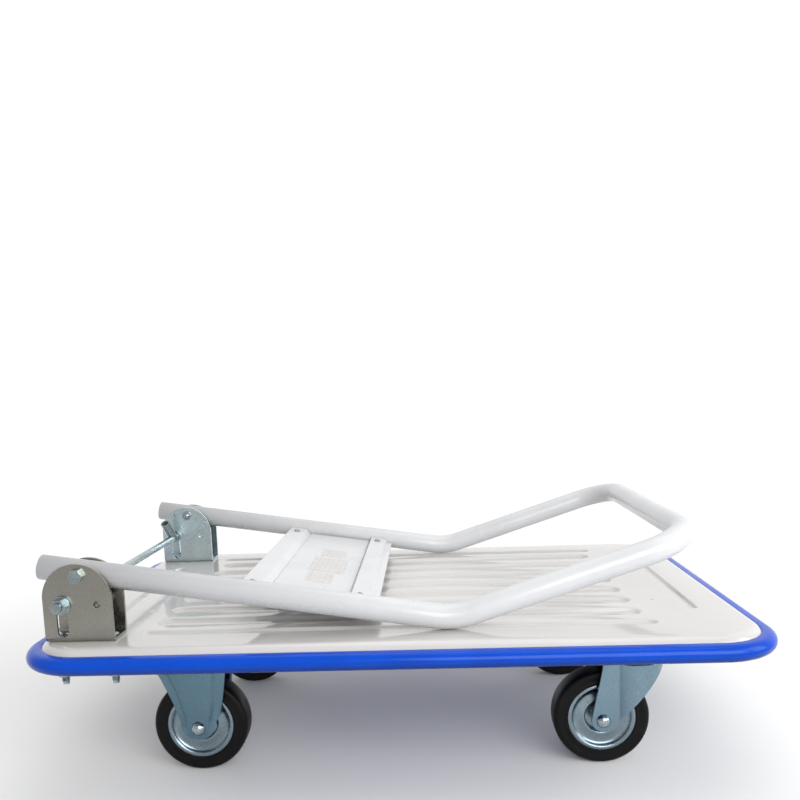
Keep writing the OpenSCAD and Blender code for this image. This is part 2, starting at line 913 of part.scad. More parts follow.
deck_pan();
bumper_strip();
bracket_channel();
rigid_caster_channel();
swivel_caster_channel();
bracket_near();
bracket_far();
bracket_bolts();
bracket_nuts();
pivot_bolts();
pivot_rings();
return_spring();
rigid_fork_near();
rigid_fork_far();
rigid_axle_bolts();
rigid_axle_nuts();
swivel_plate_near();
swivel_plate_far();
swivel_kingpins();
race_balls();
caster_bolts();
caster_nuts();
handle_tube();
pivot_sleeves();
crossbar_lower();
crossbar_upper();
panel_lugs();
back_panel();
panel_labels();
panel_screws();
panel_nuts();
lock_rod();
rod_washers();
rod_nuts();
rod_collars();
release_peg();
swivel_fork_near();
swivel_axle_bolt_near();
swivel_axle_nut_near();
swivel_fork_far();
swivel_axle_bolt_far();
swivel_axle_nut_far();
near_wheel(rigid_x) tyre();  // rigid_near_tyre
near_wheel(rigid_x) rim_outer();  // rigid_near_rim_outer
near_wheel(rigid_x) rim_inner();  // rigid_near_rim_inner
near_wheel(rigid_x) hub();  // rigid_near_hub
far_wheel(rigid_x) tyre();  // rigid_far_tyre
far_wheel(rigid_x) rim_outer();  // rigid_far_rim_outer
far_wheel(rigid_x) rim_inner();  // rigid_far_rim_inner
far_wheel(rigid_x) hub();  // rigid_far_hub
near_wheel(king_x - trail) tyre();  // swivel_near_tyre
near_wheel(king_x - trail) rim_outer();  // swivel_near_rim_outer
near_wheel(king_x - trail) rim_inner();  // swivel_near_rim_inner
near_wheel(king_x - trail) hub();  // swivel_near_hub
far_wheel(king_x - trail) tyre();  // swivel_far_tyre
far_wheel(king_x - trail) rim_outer();  // swivel_far_rim_outer
far_wheel(king_x - trail) rim_inner();  // swivel_far_rim_inner
far_wheel(king_x - trail) hub();  // swivel_far_hub
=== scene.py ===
"""Folding platform cart: the looks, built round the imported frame, laid out as a Blender add-on."""

import json
import math

import bmesh
import bpy
from bpy.props import FloatProperty, FloatVectorProperty, PointerProperty
from mathutils import Matrix, Vector

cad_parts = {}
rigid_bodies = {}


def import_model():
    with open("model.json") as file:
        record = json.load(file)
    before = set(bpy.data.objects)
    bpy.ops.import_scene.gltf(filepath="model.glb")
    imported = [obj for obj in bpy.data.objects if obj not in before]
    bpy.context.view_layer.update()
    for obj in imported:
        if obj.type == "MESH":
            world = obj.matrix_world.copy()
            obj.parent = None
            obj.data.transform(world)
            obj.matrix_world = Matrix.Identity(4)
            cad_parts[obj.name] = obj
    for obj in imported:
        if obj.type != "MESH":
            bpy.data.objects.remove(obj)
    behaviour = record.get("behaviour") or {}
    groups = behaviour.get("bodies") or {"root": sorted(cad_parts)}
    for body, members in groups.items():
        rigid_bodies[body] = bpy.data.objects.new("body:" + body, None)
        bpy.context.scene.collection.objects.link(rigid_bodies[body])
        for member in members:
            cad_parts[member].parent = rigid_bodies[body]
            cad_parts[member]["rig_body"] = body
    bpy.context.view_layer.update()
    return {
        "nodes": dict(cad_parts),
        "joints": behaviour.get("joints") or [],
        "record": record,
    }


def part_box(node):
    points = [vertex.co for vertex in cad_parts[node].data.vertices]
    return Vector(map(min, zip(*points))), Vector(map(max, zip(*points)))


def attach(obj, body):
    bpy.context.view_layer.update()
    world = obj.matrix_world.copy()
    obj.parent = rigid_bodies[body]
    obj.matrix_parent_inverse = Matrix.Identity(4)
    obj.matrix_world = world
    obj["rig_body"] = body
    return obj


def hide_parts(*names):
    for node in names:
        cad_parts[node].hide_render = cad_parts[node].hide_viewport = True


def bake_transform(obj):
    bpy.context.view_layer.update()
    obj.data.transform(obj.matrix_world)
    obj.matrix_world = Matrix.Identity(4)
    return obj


bl_info = {
    "name": "Folding Platform Cart",
    "version": (1, 0, 0),
    "blender": (4, 5, 0),
    "location": "3D View > Sidebar > Cart",
    "description": "Builds a folding platform cart with its deck, handle, brackets and casters",
    "category": "Add Mesh",
}

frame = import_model()
MM = 0.001


# ---- sizes read from the frame ---------------------------------------------------------------


def middle(node):
    """The middle of a CAD node's box."""
    low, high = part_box(node)
    return (low + high) / 2


DECK_LOW, DECK_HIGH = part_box("deck_pan")
BUMPER_LOW, BUMPER_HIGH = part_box("bumper_strip")
LEG_Y = 183 * MM
WHEEL_Y = -middle("rigid_near_tyre").y
RIGID_X = middle("rigid_near_tyre").x
SWIVEL_X = middle("swivel_near_tyre").x
WHEEL_R = middle("rigid_near_tyre").z
ROD = middle("lock_rod")
PIVOT = Vector(frame["joints"][0]["pos_m"])
REST_SLOPE = math.radians(8.66)
FOLDED = Matrix.Translation(PIVOT) @ Matrix.Rotation(REST_SLOPE, 4, "Y")


def srgb(text):
    """A colour written as sRGB hex, as the linear values that Blender's sockets hold."""
    parts = [int(text[i : i + 2], 16) / 255 for i in (1, 3, 5)]
    return tuple(c / 12.92 if c <= 0.04045 else ((c + 0.055) / 1.055) ** 2.4 for c in parts)


def colour_property(name, text, description):
    return FloatVectorProperty(
        name=name, description=description, default=srgb(text), subtype="COLOR", size=3, min=0, max=1
    )


def length_property(name, value, description):
    return FloatProperty(name=name, description=description, default=value, unit="LENGTH")


class CartSizes(bpy.types.PropertyGroup):
    rib_width: length_property("Rib width", 22 * MM, "Width of a long pressed rib")
    rib_length: length_property("Rib length", 500 * MM, "Length of a long pressed rib")
    rib_pitch: length_property("Rib pitch", 45 * MM, "Distance between long ribs")
    rib_depth: length_property("Rib depth", 3 * MM, "Depth of the pressed ribs")
    edge_radius: length_property("Edge radius", 13 * MM, "Radius of the deck's rolled edge")
    sheet: length_property("Sheet", 2 * MM, "Thickness of the pressed sheet")
    tube_radius: length_property("Tube radius", 12.47 * MM, "Outside radius of the handle tube")
    tube_wall: length_property("Tube wall", 1.5 * MM, "Wall of the handle tube")
    edge_break: length_property("Edge break", 0.35 * MM, "Rounding of a stamped part's edges")


class CartFinishes(bpy.types.PropertyGroup):
    enamel: colour_property("Enamel", "#cbc9c7", "The deck's baked enamel")
    powder: colour_property("Powder coat", "#d3d4d6", "The handle's powder coat")
    vinyl: colour_property("Vinyl", "#0047bf", "The bumper's extruded vinyl")
    zinc: colour_property("Zinc", "#a5a39a", "Zinc plating on the brackets")
    caster_zinc: colour_property("Caster zinc", "#64808f", "Blue zinc plating on the casters")
    rubber: colour_property("Rubber", "#0b0b0c", "The tyres' rubber")
    sticker: colour_property("Sticker", "#dcdad8", "The panel's ruled stickers")


# ---- materials -------------------------------------------------------------------------------


def add(tree, kind, settings=None, links=None):
    """Adds a node, with its settings and input values, linked from the sockets given."""
    made = tree.nodes.new(kind)
    for key, value in (settings or {}).items():
        if hasattr(made, key):
            setattr(made, key, value)
        else:
            made.inputs[key].default_value = value
    for key, socket in (links or {}).items():
        tree.links.new(socket, made.inputs[key])
    return made


def new_material(name):
    """An empty material: its tree, its Principled BSDF and its Object coordinates."""
    material = bpy.data.materials.new(name)
    material.use_nodes = True
    tree = material.node_tree
    shader = tree.nodes["Principled BSDF"]
    return material, tree, shader, add(tree, "ShaderNodeTexCoord").outputs["Object"]


def noise(tree, where, size, detail=3.0, rough=0.5):
    """Noise whose blotches are about size metres across."""
    made = add(
        tree,
        "ShaderNodeTexNoise",
        {"Scale": 1 / size, "Detail": detail, "Roughness": rough},
        {"Vector": where},
    )
    return made.outputs["Fac"]


def spread(tree, value, low, high, start=0.35, end=0.65):
    """Takes a value from start..end to low..high, with smooth ends."""
    made = add(
        tree,
        "ShaderNodeMapRange",
        {
            "interpolation_type": "SMOOTHSTEP",
            "From Min": start,
            "From Max": end,
            "To Min": low,
            "To Max": high,
        },
        {"Value": value},
    )
    return made.outputs["Result"]


def mixed(tree, factor, first, second):
    """A colour between two; either may be a socket."""
    made = add(tree, "ShaderNodeMix", {"data_type": "RGBA"}, {"Factor": factor})
    for socket, value in ((made.inputs[6], first), (made.inputs[7], second)):
        if isinstance(value, bpy.types.NodeSocket):
            tree.links.new(value, socket)
        else:
            socket.default_value = (*value[:3], 1)
    return made.outputs[2]


def bump(tree, height, depth, normal=None):
    """A bump that is depth metres deep."""
    links = {"Height": height}
    if normal is not None:
        links["Normal"] = normal
    return add(tree, "ShaderNodeBump", {"Strength": 1.0, "Distance": depth}, links).outputs["Normal"]


def stretched(tree, where, scale):
    return add(tree, "ShaderNodeMapping", {"Scale": scale}, {"Vector": where}).outputs["Vector"]


def scaled(tree, colour, factor):
    """A colour socket times a value socket."""
    made = add(tree, "ShaderNodeVectorMath", {"operation": "SCALE"}, {"Vector": colour, "Scale": factor})
    return made.outputs["Vector"]


def dimmed(colour, factor):
    return tuple(c * factor for c in colour)


def baked_enamel(colour):
    """Baked enamel on pressed steel: a deep gloss over faint orange peel, with faint handling marks."""
    material, tree, shader, where = new_material("Baked_Enamel_On_Pressed_Steel")
    dust = spread(tree, noise(tree, where, 90 * MM, 5, 0.5), 0, 1, 0.3, 0.75)
    body = mixed(tree, dust, colour, dimmed(colour, 0.96))
    tree.links.new(body, shader.inputs["Base Color"])
    scuffs = noise(tree, stretched(tree, where, (0.5, 2, 1)), 12 * MM, 4, 0.6)
    tree.links.new(spread(tree, scuffs, 0.12, 0.2, 0.4, 0.8), shader.inputs["Roughness"])
    peel = noise(tree, where, 6 * MM, 1, 0.4)
    tree.links.new(bump(tree, peel, 0.012 * MM), shader.inputs["Normal"])
    shader.inputs["Coat Weight"].default_value = 0.6
    shader.inputs["Coat Roughness"].default_value = 0.04
    return material


def powder_coat(colour):
    """Powder coat on steel tube: a satin gloss with a fine even orange peel and faint grey rubs."""
    material, tree, shader, where = new_material("Powder_Coat_On_Steel_Tube")
    rubs = spread(tree, noise(tree, where, 30 * MM, 3, 0.5), 0, 1, 0.5, 0.9)
    tone = spread(tree, noise(tree, where, 60 * MM, 4, 0.5), 0, 1, 0.35, 0.7)
    body = mixed(tree, tone, colour, dimmed(colour, 0.95))
    tree.links.new(mixed(tree, rubs, body, dimmed(colour, 0.94)), shader.inputs["Base Color"])
    tree.links.new(spread(tree, tone, 0.22, 0.28, 0, 1), shader.inputs["Roughness"])
    # Peel of about 1 mm is drawn at 1.6 mm so that it shows.
    peel = noise(tree, where, 1.6 * MM, 1, 0.5)
    tree.links.new(bump(tree, peel, 0.008 * MM), shader.inputs["Normal"])
    shader.inputs["Coat Weight"].default_value = 0.25
    shader.inputs["Coat Roughness"].default_value = 0.12
    return material


def extruded_vinyl(colour):
    """Extruded PVC edging: saturated, glossy, darkened low down by painted shade, with drawn lines and slight
    waviness.
    """
    material, tree, shader, where = new_material("Extruded_Vinyl_Edging")
    tone = spread(tree, noise(tree, where, 45 * MM, 4, 0.55), 0, 1)
    height = add(tree, "ShaderNodeSeparateXYZ", links={"Vector": where}).outputs["Z"]
    # Painted shade: the vinyl's colour is scaled from 0.4 at the bumper's lower edge up to full colour at 70%
    # of its height.
    painted_shade = spread(tree, height, 0.4, 1.0, BUMPER_LOW.z, BUMPER_LOW.lerp(BUMPER_HIGH, 0.7).z)
    body = mixed(tree, tone, colour, dimmed(colour, 0.9))
    tree.links.new(scaled(tree, body, painted_shade), shader.inputs["Base Color"])
    drawn = noise(tree, stretched(tree, where, (0.06, 0.06, 3)), 2 * MM, 3, 0.6)
    tree.links.new(spread(tree, drawn, 0.18, 0.26), shader.inputs["Roughness"])
    wave = bump(tree, noise(tree, where, 25 * MM, 2, 0.4), 0.15 * MM)
    tree.links.new(bump(tree, drawn, 0.01 * MM, wave), shader.inputs["Normal"])
    shader.inputs["Specular IOR Level"].default_value = 0.15
    shader.inputs["Coat Weight"].default_value = 0.12
    shader.inputs["Coat Roughness"].default_value = 0.08
    return material


# Half the width of the band over which an axis tint goes from one colour to the other.
TINT_BORDER = 100 * MM


def zinc_plate(name, colour, second, rough, grain, across=None):
    """Zinc plating on steel: a soft metal gloss with fine spangle, faint clouds and rolling lines.

    The tint goes from colour to second over the clouds or, given an axis, from colour at the low end of that
    axis to second at its high end. rough is the roughness in and out of the clouds, grain the rolling lines'
    stretch.
    """
    material, tree, shader, where = new_material(name)
    cloud = spread(tree, noise(tree, where, 16 * MM, 6, 0.55), 0, 1, 0.3, 0.72)
    tint = cloud
    if across:
        place = add(tree, "ShaderNodeSeparateXYZ", links={"Vector": where}).outputs[across]
        tint = spread(tree, place, 0, 1, -TINT_BORDER, TINT_BORDER)
    body = mixed(tree, tint, colour, second)
    spangle = spread(tree, noise(tree, where, 1.6 * MM, 4, 0.7), 0.86, 1.06, 0.3, 0.7)
    tree.links.new(scaled(tree, body, spangle), shader.inputs["Base Color"])
    shader.inputs["Metallic"].default_value = 1.0
    lines = noise(tree, stretched(tree, where, grain), 0.9 * MM, 4, 0.65)
    tree.links.new(spread(tree, cloud, rough[0], rough[1], 0, 1), shader.inputs["Roughness"])
    dents = bump(tree, noise(tree, where, 20 * MM, 1, 0.4), 0.01 * MM)
    tree.links.new(bump(tree, lines, 0.003 * MM, dents), shader.inputs["Normal"])
    return material


def tyre_rubber(colour):
    """Moulded black rubber: soft sheen, fine mould grain, and a grey bloom of dust."""
    material, tree, shader, where = new_material("Moulded_Black_Rubber")
    dust = spread(tree, noise(tree, where, 20 * MM, 7, 0.65), 0, 1, 0.45, 0.85)
    tree.links.new(mixed(tree, dust, colour, srgb("#191918")), shader.inputs["Base Color"])
    tree.links.new(spread(tree, dust, 0.42, 0.62, 0, 1), shader.inputs["Roughness"])
    grain = noise(tree, where, 0.8 * MM, 4, 0.7)
    wave = bump(tree, noise(tree, where, 7 * MM, 2, 0.4), 0.08 * MM)
    tree.links.new(bump(tree, grain, 0.03 * MM, wave), shader.inputs["Normal"])
    shader.inputs["Specular IOR Level"].default_value = 0.15
    return material


def sticker_vinyl(colour):
    """Vinyl sticker: slightly creased, ruled into empty grey boxes, with no wording."""
    material, tree, shader, where = new_material("Ruled_Vinyl_Sticker")
    tone = spread(tree, noise(tree, where, 8 * MM, 4, 0.6), 0, 1)
    boxes = add(
        tree,
        "ShaderNodeTexBrick",
        {
            "Scale": 1.0,
            "Mortar Size": 0.4 * MM,
            "Mortar Smooth": 0.2,
            "Brick Width": 11 * MM,
            "Row Height": 4.5 * MM,
            "Color1": (*colour, 1),
            "Color2": (*dimmed(colour, 0.88), 1),
            "Mortar": (*srgb("#7d7f82"), 1),
        },
        {"Vector": where},
    )
    worn = mixed(tree, tone, boxes.outputs["Color"], dimmed(colour, 0.92))
    tree.links.new(worn, shader.inputs["Base Color"])
    tree.links.new(spread(tree, tone, 0.3, 0.45, 0, 1), shader.inputs["Roughness"])
    crease = noise(tree, where, 10 * MM, 3, 0.5)
    tree.links.new(bump(tree, crease, 0.08 * MM), shader.inputs["Normal"])
    return material


def studio_floor():
    """A pale matt floor with the faintest mottling, fading into the white wall away from the cart."""
    material, tree, shader, where = new_material("Pale_Studio_Floor")
    tone = noise(tree, where, 600 * MM, 2, 0.4)
    tree.links.new(mixed(tree, tone, srgb("#f4f4f3"), srgb("#f1f1f0")), shader.inputs["Base Color"])
    away = add(tree, "ShaderNodeVectorMath", {"operation": "LENGTH"}, {"Vector": where})
    tree.links.new(spread(tree, away.outputs["Value"], 1, 0, 0.4, 1.3), shader.inputs["Alpha"])
    shader.inputs["Roughness"].default_value = 0.9
    return material


MATERIALS = {}


def finishes():
    """The cart's materials by the record's slot names, made once."""
    if not MATERIALS:
        chosen = bpy.context.scene.cart_finishes
        zinc = tuple(chosen.zinc)
        blue_zinc = tuple(chosen.caster_zinc)
        MATERIALS.update(
            deck_enamel=baked_enamel(tuple(chosen.enamel)),
            powder_coat=powder_coat(tuple(chosen.powder)),
            bumper_vinyl=extruded_vinyl(tuple(chosen.vinyl)),
            bracket_zinc=zinc_plate(
                "Zinc_Plate_On_Brackets", zinc, srgb("#c8d6d9"), (0.26, 0.32), (5, 0.3, 0.3), "Y"
            ),
            caster_zinc=zinc_plate(
                "Blue_Zinc_On_Forks", blue_zinc, srgb("#7c94a2"), (0.26, 0.34), (0.3, 0.3, 5), "X"
            ),
            wheel_zinc=zinc_plate(
                "Spun_Zinc_On_Rims", srgb("#8b9ba3"), srgb("#82929b"), (0.24, 0.28), (1, 1, 1)
            ),
            bright_zinc=zinc_plate(
                "Bright_Zinc_On_Fasteners", srgb("#b9c4c6"), srgb("#9aa9ad"), (0.14, 0.22), (1, 1, 1)
            ),
            tyre_rubber=tyre_rubber(tuple(chosen.rubber)),
            label=sticker_vinyl(tuple(chosen.sticker)),
        )
    return MATERIALS


# ---- making pieces ---------------------------------------------------------------------------


def body_of(node):
    """The CAD body that a node rides on."""
    return frame["nodes"][node]["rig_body"]


def slot_of(node):
    """The record's material slot of a CAD node."""
    return next(row["material_slot"] for row in frame["record"]["subparts"] if row["node"] == node)


def finished(name, bm, nodes, smooth_below=40, blended=None):
    """Turns a bmesh into a piece that stands for CAD nodes, with their slot and finish; it rides on their
    body, or, when blended is given, is baked in place on no body.
    """
    mesh = bpy.data.meshes.new(name)
    bm.to_mesh(mesh)
    bm.free()
    mesh.shade_smooth()
    mesh.set_sharp_from_angle(angle=math.radians(smooth_below))
    slot = slot_of(nodes[0])
    mesh.materials.append(finishes()[slot])
    piece = bpy.data.objects.new(name, mesh)
    bpy.context.scene.collection.objects.link(piece)
    if blended:
        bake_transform(piece)
    else:
        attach(piece, body_of(nodes[0]))
    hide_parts(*nodes)
    return piece


def wall(piece, thickness):
    """Gives a shell its wall, inward from its outer face."""
    solid = piece.modifiers.new("Wall", "SOLIDIFY")
    solid.thickness = thickness
    solid.offset = -1
    solid.use_even_offset = False


def face_out(bm):
    """Merges doubles and turns every face outward."""
    bmesh.ops.remove_doubles(bm, verts=bm.verts, dist=1e-6)
    bmesh.ops.recalc_face_normals(bm, faces=bm.faces)


SAME_PLACE = 0.002 * MM
FLAT_ANGLE = math.radians(0.6)
SHARP_ANGLE = math.radians(32)
# Below a bevel's own steps, so that flat faces stay flat beside it.
STAMPED_SMOOTH = 20


def softened(node, width):
    """A merged copy of a CAD node with its sharp edges rounded over, as stamping and plating leave them."""
    bm = bmesh.new()
    bm.from_mesh(frame["nodes"][node].data)
    bmesh.ops.remove_doubles(bm, verts=bm.verts, dist=SAME_PLACE)
    bmesh.ops.dissolve_limit(
        bm, angle_limit=FLAT_ANGLE, use_dissolve_boundaries=False, verts=bm.verts, edges=bm.edges
    )
    edges = [e for e in bm.edges if e.is_manifold and e.calc_face_angle(0) > SHARP_ANGLE]
    bevel(bm, edges, width, 2)
    return bm


def soften_nodes(nodes, width):
    """Makes a piece of each CAD node with its edges rounded by width."""
    for node in nodes:
        finished(node.title().replace("_", "."), softened(node, width), [node], STAMPED_SMOOTH)


def of_kind(geom, kind):
    """The vertices, edges or faces among what an operator returned."""
    return [g for g in geom if isinstance(g, kind)]


def next_row(bm, edges, roots):
    """Extrudes a row of edges; gives what roots said of each old vertex to its new one, and the new edges."""
    made = bmesh.ops.extrude_edge_only(bm, edges=edges)["geom"]
    fresh = {}
    for vert in of_kind(made, bmesh.types.BMVert):
        old = next(e.other_vert(vert) for e in vert.link_edges if e.other_vert(vert) in roots)
        fresh[vert] = roots[old]
    row = [e for e in of_kind(made, bmesh.types.BMEdge) if e.verts[0] in fresh and e.verts[1] in fresh]
    return fresh, row


def loop_edges(bm, verts):
    """The edges that run round a ring of vertices."""
    ring = set(verts)
    return [e for e in bm.edges if e.verts[0] in ring and e.verts[1] in ring]


def round_rect_ring(bm, half_l, half_w, radius, z):
    """A rounded rectangle of edges, from a circle whose quarters are moved apart."""
    segments = 48
    made = bmesh.ops.create_circle(bm, cap_ends=False, radius=radius, segments=segments)["verts"]
    half_step = Matrix.Rotation(math.pi / segments, 3, "Z")
    bmesh.ops.rotate(bm, verts=made, cent=(0, 0, 0), matrix=half_step)
    for vert in made:
        vert.co.x += math.copysign(half_l - radius, vert.co.x)
        vert.co.y += math.copysign(half_w - radius, vert.co.y)
        vert.co.z = z
    return made


def band(bm, section, half_l, half_w, radius):
    """Lofts a closed section, as (outward, height) points, round a rounded rectangle."""
    rings = []
    for out, z in section:
        verts = round_rect_ring(bm, half_l + out, half_w + out, radius + out, z)
        rings.append(loop_edges(bm, verts))
    for a, b in zip(rings, rings[1:] + rings[:1]):
        bmesh.ops.bridge_loops(bm, edges=a + b)


def arc(centre, radius, start, end, steps):
    """Points (u, v) on an arc in degrees, ends included."""
    for k in range(steps + 1):
        angle = math.radians(start + (end - start) * k / steps)
        yield centre[0] + radius * math.cos(angle), centre[1] + radius * math.sin(angle)


def turned(profile, steps, centre, side):
    """Spins a closed profile of (radius, outward) points about a line along Y; side -1 faces near."""
    bm = bmesh.new()
    verts = [bm.verts.new((r, side * out, 0)) for r, out in profile]
    edges = [bm.edges.new(pair) for pair in zip(verts, verts[1:] + verts[:1])]
    bmesh.ops.spin(
        bm, geom=verts + edges, cent=(0, 0, 0), axis=(0, 1, 0), angle=math.tau, steps=steps, use_merge=True
    )
    face_out(bm)
    bmesh.ops.translate(bm, verts=bm.verts, vec=centre)
    return bm


# ---- deck and bumper -------------------------------------------------------------------------


def ease(x):
    """0 to 1 with smooth ends."""
    x = min(max(x, 0), 1)
    return x * x * (3 - 2 * x)


def groove_distance(x, y, half_straight, half_width):
    """Distance outside the rim of a round-ended groove that lies along x."""
    return math.hypot(max(abs(x) - half_straight, 0), y) - half_width


def cuts(spans):
    """Sorted, separate places from (start, end, step) spans."""
    places = []
    for start, end, step in spans:
        count = max(1, round((end - start) / step))
        places += [start + (end - start) * k / count for k in range(count + 1)]
    places.sort()
    kept = places[:1]
    for p in places[1:]:
        if p - kept[-1] > 0.35 * MM:
            kept.append(p)
    return kept


RIBS_A_SIDE = 3
SIDE_RIB_Y = 173 * MM
SIDE_RIB_W = 12 * MM
END_GROOVE_X = 308 * MM
END_GROOVE_HALF = 128 * MM
END_GROOVE_W = 8 * MM
DIMPLE = Vector((274, 92)) * MM
DIMPLE_R = 1.9 * MM
DIMPLE_DEPTH = 1.0 * MM
CORNER = 40 * MM
CORNER_STEPS = 12
COARSE_STEP = 24 * MM
SKIRT_GAP = 2.1 * MM


def pressed(x, y, sizes):
    """How far the sheet is pressed down at a point of the deck."""
    rib = sizes.rib_width / 2
    straight = sizes.rib_length / 2 - rib
    row = max(-RIBS_A_SIDE, min(RIBS_A_SIDE, round(y / sizes.rib_pitch)))
    long_rib = groove_distance(x, y - row * sizes.rib_pitch, straight, rib)
    side = groove_distance(x, abs(y) - SIDE_RIB_Y, straight + 12 * MM, SIDE_RIB_W / 2)
    end = groove_distance(y, abs(x) - END_GROOVE_X, END_GROOVE_HALF - END_GROOVE_W / 2, END_GROOVE_W / 2)
    dimple = math.hypot(abs(x) - DIMPLE.x, abs(y) - DIMPLE.y)
    depth = 0
    for distance, soft in ((long_rib, 2.4 * MM), (side, 2 * MM), (end, 1.3 * MM)):
        depth = max(depth, sizes.rib_depth * ease((soft - distance) / (2 * soft)))
    return max(depth, DIMPLE_DEPTH * ease(1.4 - dimple / DIMPLE_R))


def deck_grid(half_l, half_w, sizes):
    """A flat grid of the deck, fine where the ribs, grooves and dimples are and coarse between them."""
    rib = sizes.rib_width / 2
    end = sizes.rib_length / 2
    xs = [(-half_l, half_l, COARSE_STEP)]
    for s in (-1, 1):
        for near, far, step in (
            (end - rib - 2 * MM, end + 10 * MM, 1.2 * MM),
            (DIMPLE.x - 3 * MM, DIMPLE.x + 3 * MM, 0.8 * MM),
            (END_GROOVE_X - 6 * MM, END_GROOVE_X + 6 * MM, 0.8 * MM),
        ):
            xs.append((min(s * near, s * far), max(s * near, s * far), step))
    ys = [(-half_w, half_w, COARSE_STEP)]
    for k in range(-RIBS_A_SIDE, RIBS_A_SIDE + 1):
        row = k * sizes.rib_pitch
        ys.append((row - rib - 3 * MM, row + rib + 3 * MM, 1.2 * MM))
    for s in (-1, 1):
        ys.append((s * SIDE_RIB_Y - 9 * MM, s * SIDE_RIB_Y + 9 * MM, 1.0 * MM))
    xs, ys = cuts(xs), cuts(ys)
    bm = bmesh.new()
    line = [bm.verts.new((x, ys[0], 0)) for x in xs]
    edges = [bm.edges.new(pair) for pair in zip(line, line[1:])]
    for y in ys[1:]:
        made = bmesh.ops.extrude_edge_only(bm, edges=edges)["geom"]
        for vert in of_kind(made, bmesh.types.BMVert):
            vert.co.y = y
        edges = [e for e in of_kind(made, bmesh.types.BMEdge) if e.verts[0].co.y == e.verts[1].co.y]
    return bm


def trim_corner(bm, sx, sy, half_l, half_w):
    """Cuts one corner of the grid round, a plane at a time."""
    centre = Vector((sx * (half_l - CORNER), sy * (half_w - CORNER), 0))
    for k in range(CORNER_STEPS):
        angle = math.radians(90 * (k + 0.5) / CORNER_STEPS)
        out = Vector((sx * math.cos(angle), sy * math.sin(angle), 0))
        faces = [
            f for f in bm.faces if max(v.co.x * sx for v in f.verts) > half_l - 2 * CORNER
            and max(v.co.y * sy for v in f.verts) > half_w - 2 * CORNER
        ]  # fmt: skip
        geom = set(faces)
        for face in faces:
            geom.update(face.edges)
            geom.update(face.verts)
        bmesh.ops.bisect_plane(
            bm, geom=list(geom), plane_co=centre + out * CORNER, plane_no=out, clear_outer=True
        )


def deck_shell(sizes):
    """The pressed sheet: a grid trimmed round, pressed down at the ribs and rolled over at the edge."""
    half_l = DECK_HIGH.x - sizes.edge_radius
    half_w = DECK_HIGH.y - sizes.edge_radius
    bm = deck_grid(half_l, half_w, sizes)
    for sx in (-1, 1):
        for sy in (-1, 1):
            trim_corner(bm, sx, sy, half_l, half_w)
    bmesh.ops.remove_doubles(bm, verts=bm.verts, dist=0.05 * MM)
    for vert in bm.verts:
        vert.co.z = DECK_HIGH.z - pressed(vert.co.x, vert.co.y, sizes)
    rolled_edge(bm, half_l - CORNER, half_w - CORNER, sizes.edge_radius)
    bmesh.ops.recalc_face_normals(bm, faces=bm.faces)
    if sum(f.normal.z * f.calc_area() for f in bm.faces) < 0:
        bmesh.ops.reverse_faces(bm, faces=bm.faces)
    return bm


def rolled_edge(bm, inner_l, inner_w, radius):
    """Extrudes the sheet's rim outward and down round a quarter circle, then down as a skirt."""
    edges = [e for e in bm.edges if e.is_boundary]
    start = {v: v.co.copy() for e in edges for v in e.verts}
    roots = {v: v for v in start}
    places = [(u, v - radius) for u, v in arc((0, 0), radius, 90, 0, 8)][1:]
    places += [(radius, DECK_LOW.z + SKIRT_GAP - DECK_HIGH.z)]
    for out, drop in places:
        fresh, edges = next_row(bm, edges, roots)
        for vert, root in fresh.items():
            base = start[root]
            x = max(-inner_l, min(inner_l, base.x))
            y = max(-inner_w, min(inner_w, base.y))
            centre = Vector((x, y, base.z))
            away = (base - centre).normalized()
            vert.co = base + away * out + Vector((0, 0, drop))
        roots = fresh


def build_deck(sizes):
    """The pressed sheet with its wall."""
    deck = finished("Pressed_Deck", deck_shell(sizes), ["deck_pan"], 60)
    wall(deck, sizes.sheet)


def build_bumper(sizes):
    """The edging: a round nose with a fine lip over the deck's rolled edge and a flange under it."""
    nose = (BUMPER_HIGH.z - BUMPER_LOW.z) / 2
    mid = (BUMPER_HIGH.z + BUMPER_LOW.z) / 2
    reach = 13 * MM
    corner = 53 * MM
    low, top = BUMPER_LOW.z, BUMPER_HIGH.z
    centre = reach - nose
    section = [(-1.7 * MM, top - 1.1 * MM), (-1.2 * MM, top - 0.35 * MM), (-0.3 * MM, top - 0.05 * MM)]
    section += [(1.4 * MM, top), (2.2 * MM, top - 0.05 * MM)]
    section += list(arc((centre, mid), nose, 86, -86, 16))
    section += [(1.5 * MM, low + 0.02 * MM), (-3.6 * MM, low), (-3.9 * MM, low + 0.6 * MM)]
    section += [(-3.9 * MM, low + 2.3 * MM), (0.05 * MM, low + 2.4 * MM), (0.06 * MM, top - 7.5 * MM)]
    section += [(-0.15 * MM, top - 5 * MM), (-0.7 * MM, top - 2.6 * MM)]
    bm = bmesh.new()
    band(bm, section, BUMPER_HIGH.x - reach, BUMPER_HIGH.y - reach, corner)
    face_out(bm)
    finished("Vinyl_Bumper", bm, ["bumper_strip"], 50)


# ---- handle ----------------------------------------------------------------------------------


def run(bm, edges, vec):
    """Extrudes a ring of edges straight along vec."""
    verts = of_kind(bmesh.ops.extrude_edge_only(bm, edges=edges)["geom"], bmesh.types.BMVert)
    bmesh.ops.translate(bm, verts=verts, vec=vec)
    return loop_edges(bm, verts)


def bend(bm, edges, centre, axis, degrees, steps):
    """Spins a ring of edges round a bend."""
    made = bmesh.ops.spin(
        bm, geom=edges, cent=centre, axis=axis, angle=math.radians(degrees), steps=steps, use_merge=False
    )
    return of_kind(made["geom_last"], bmesh.types.BMEdge)


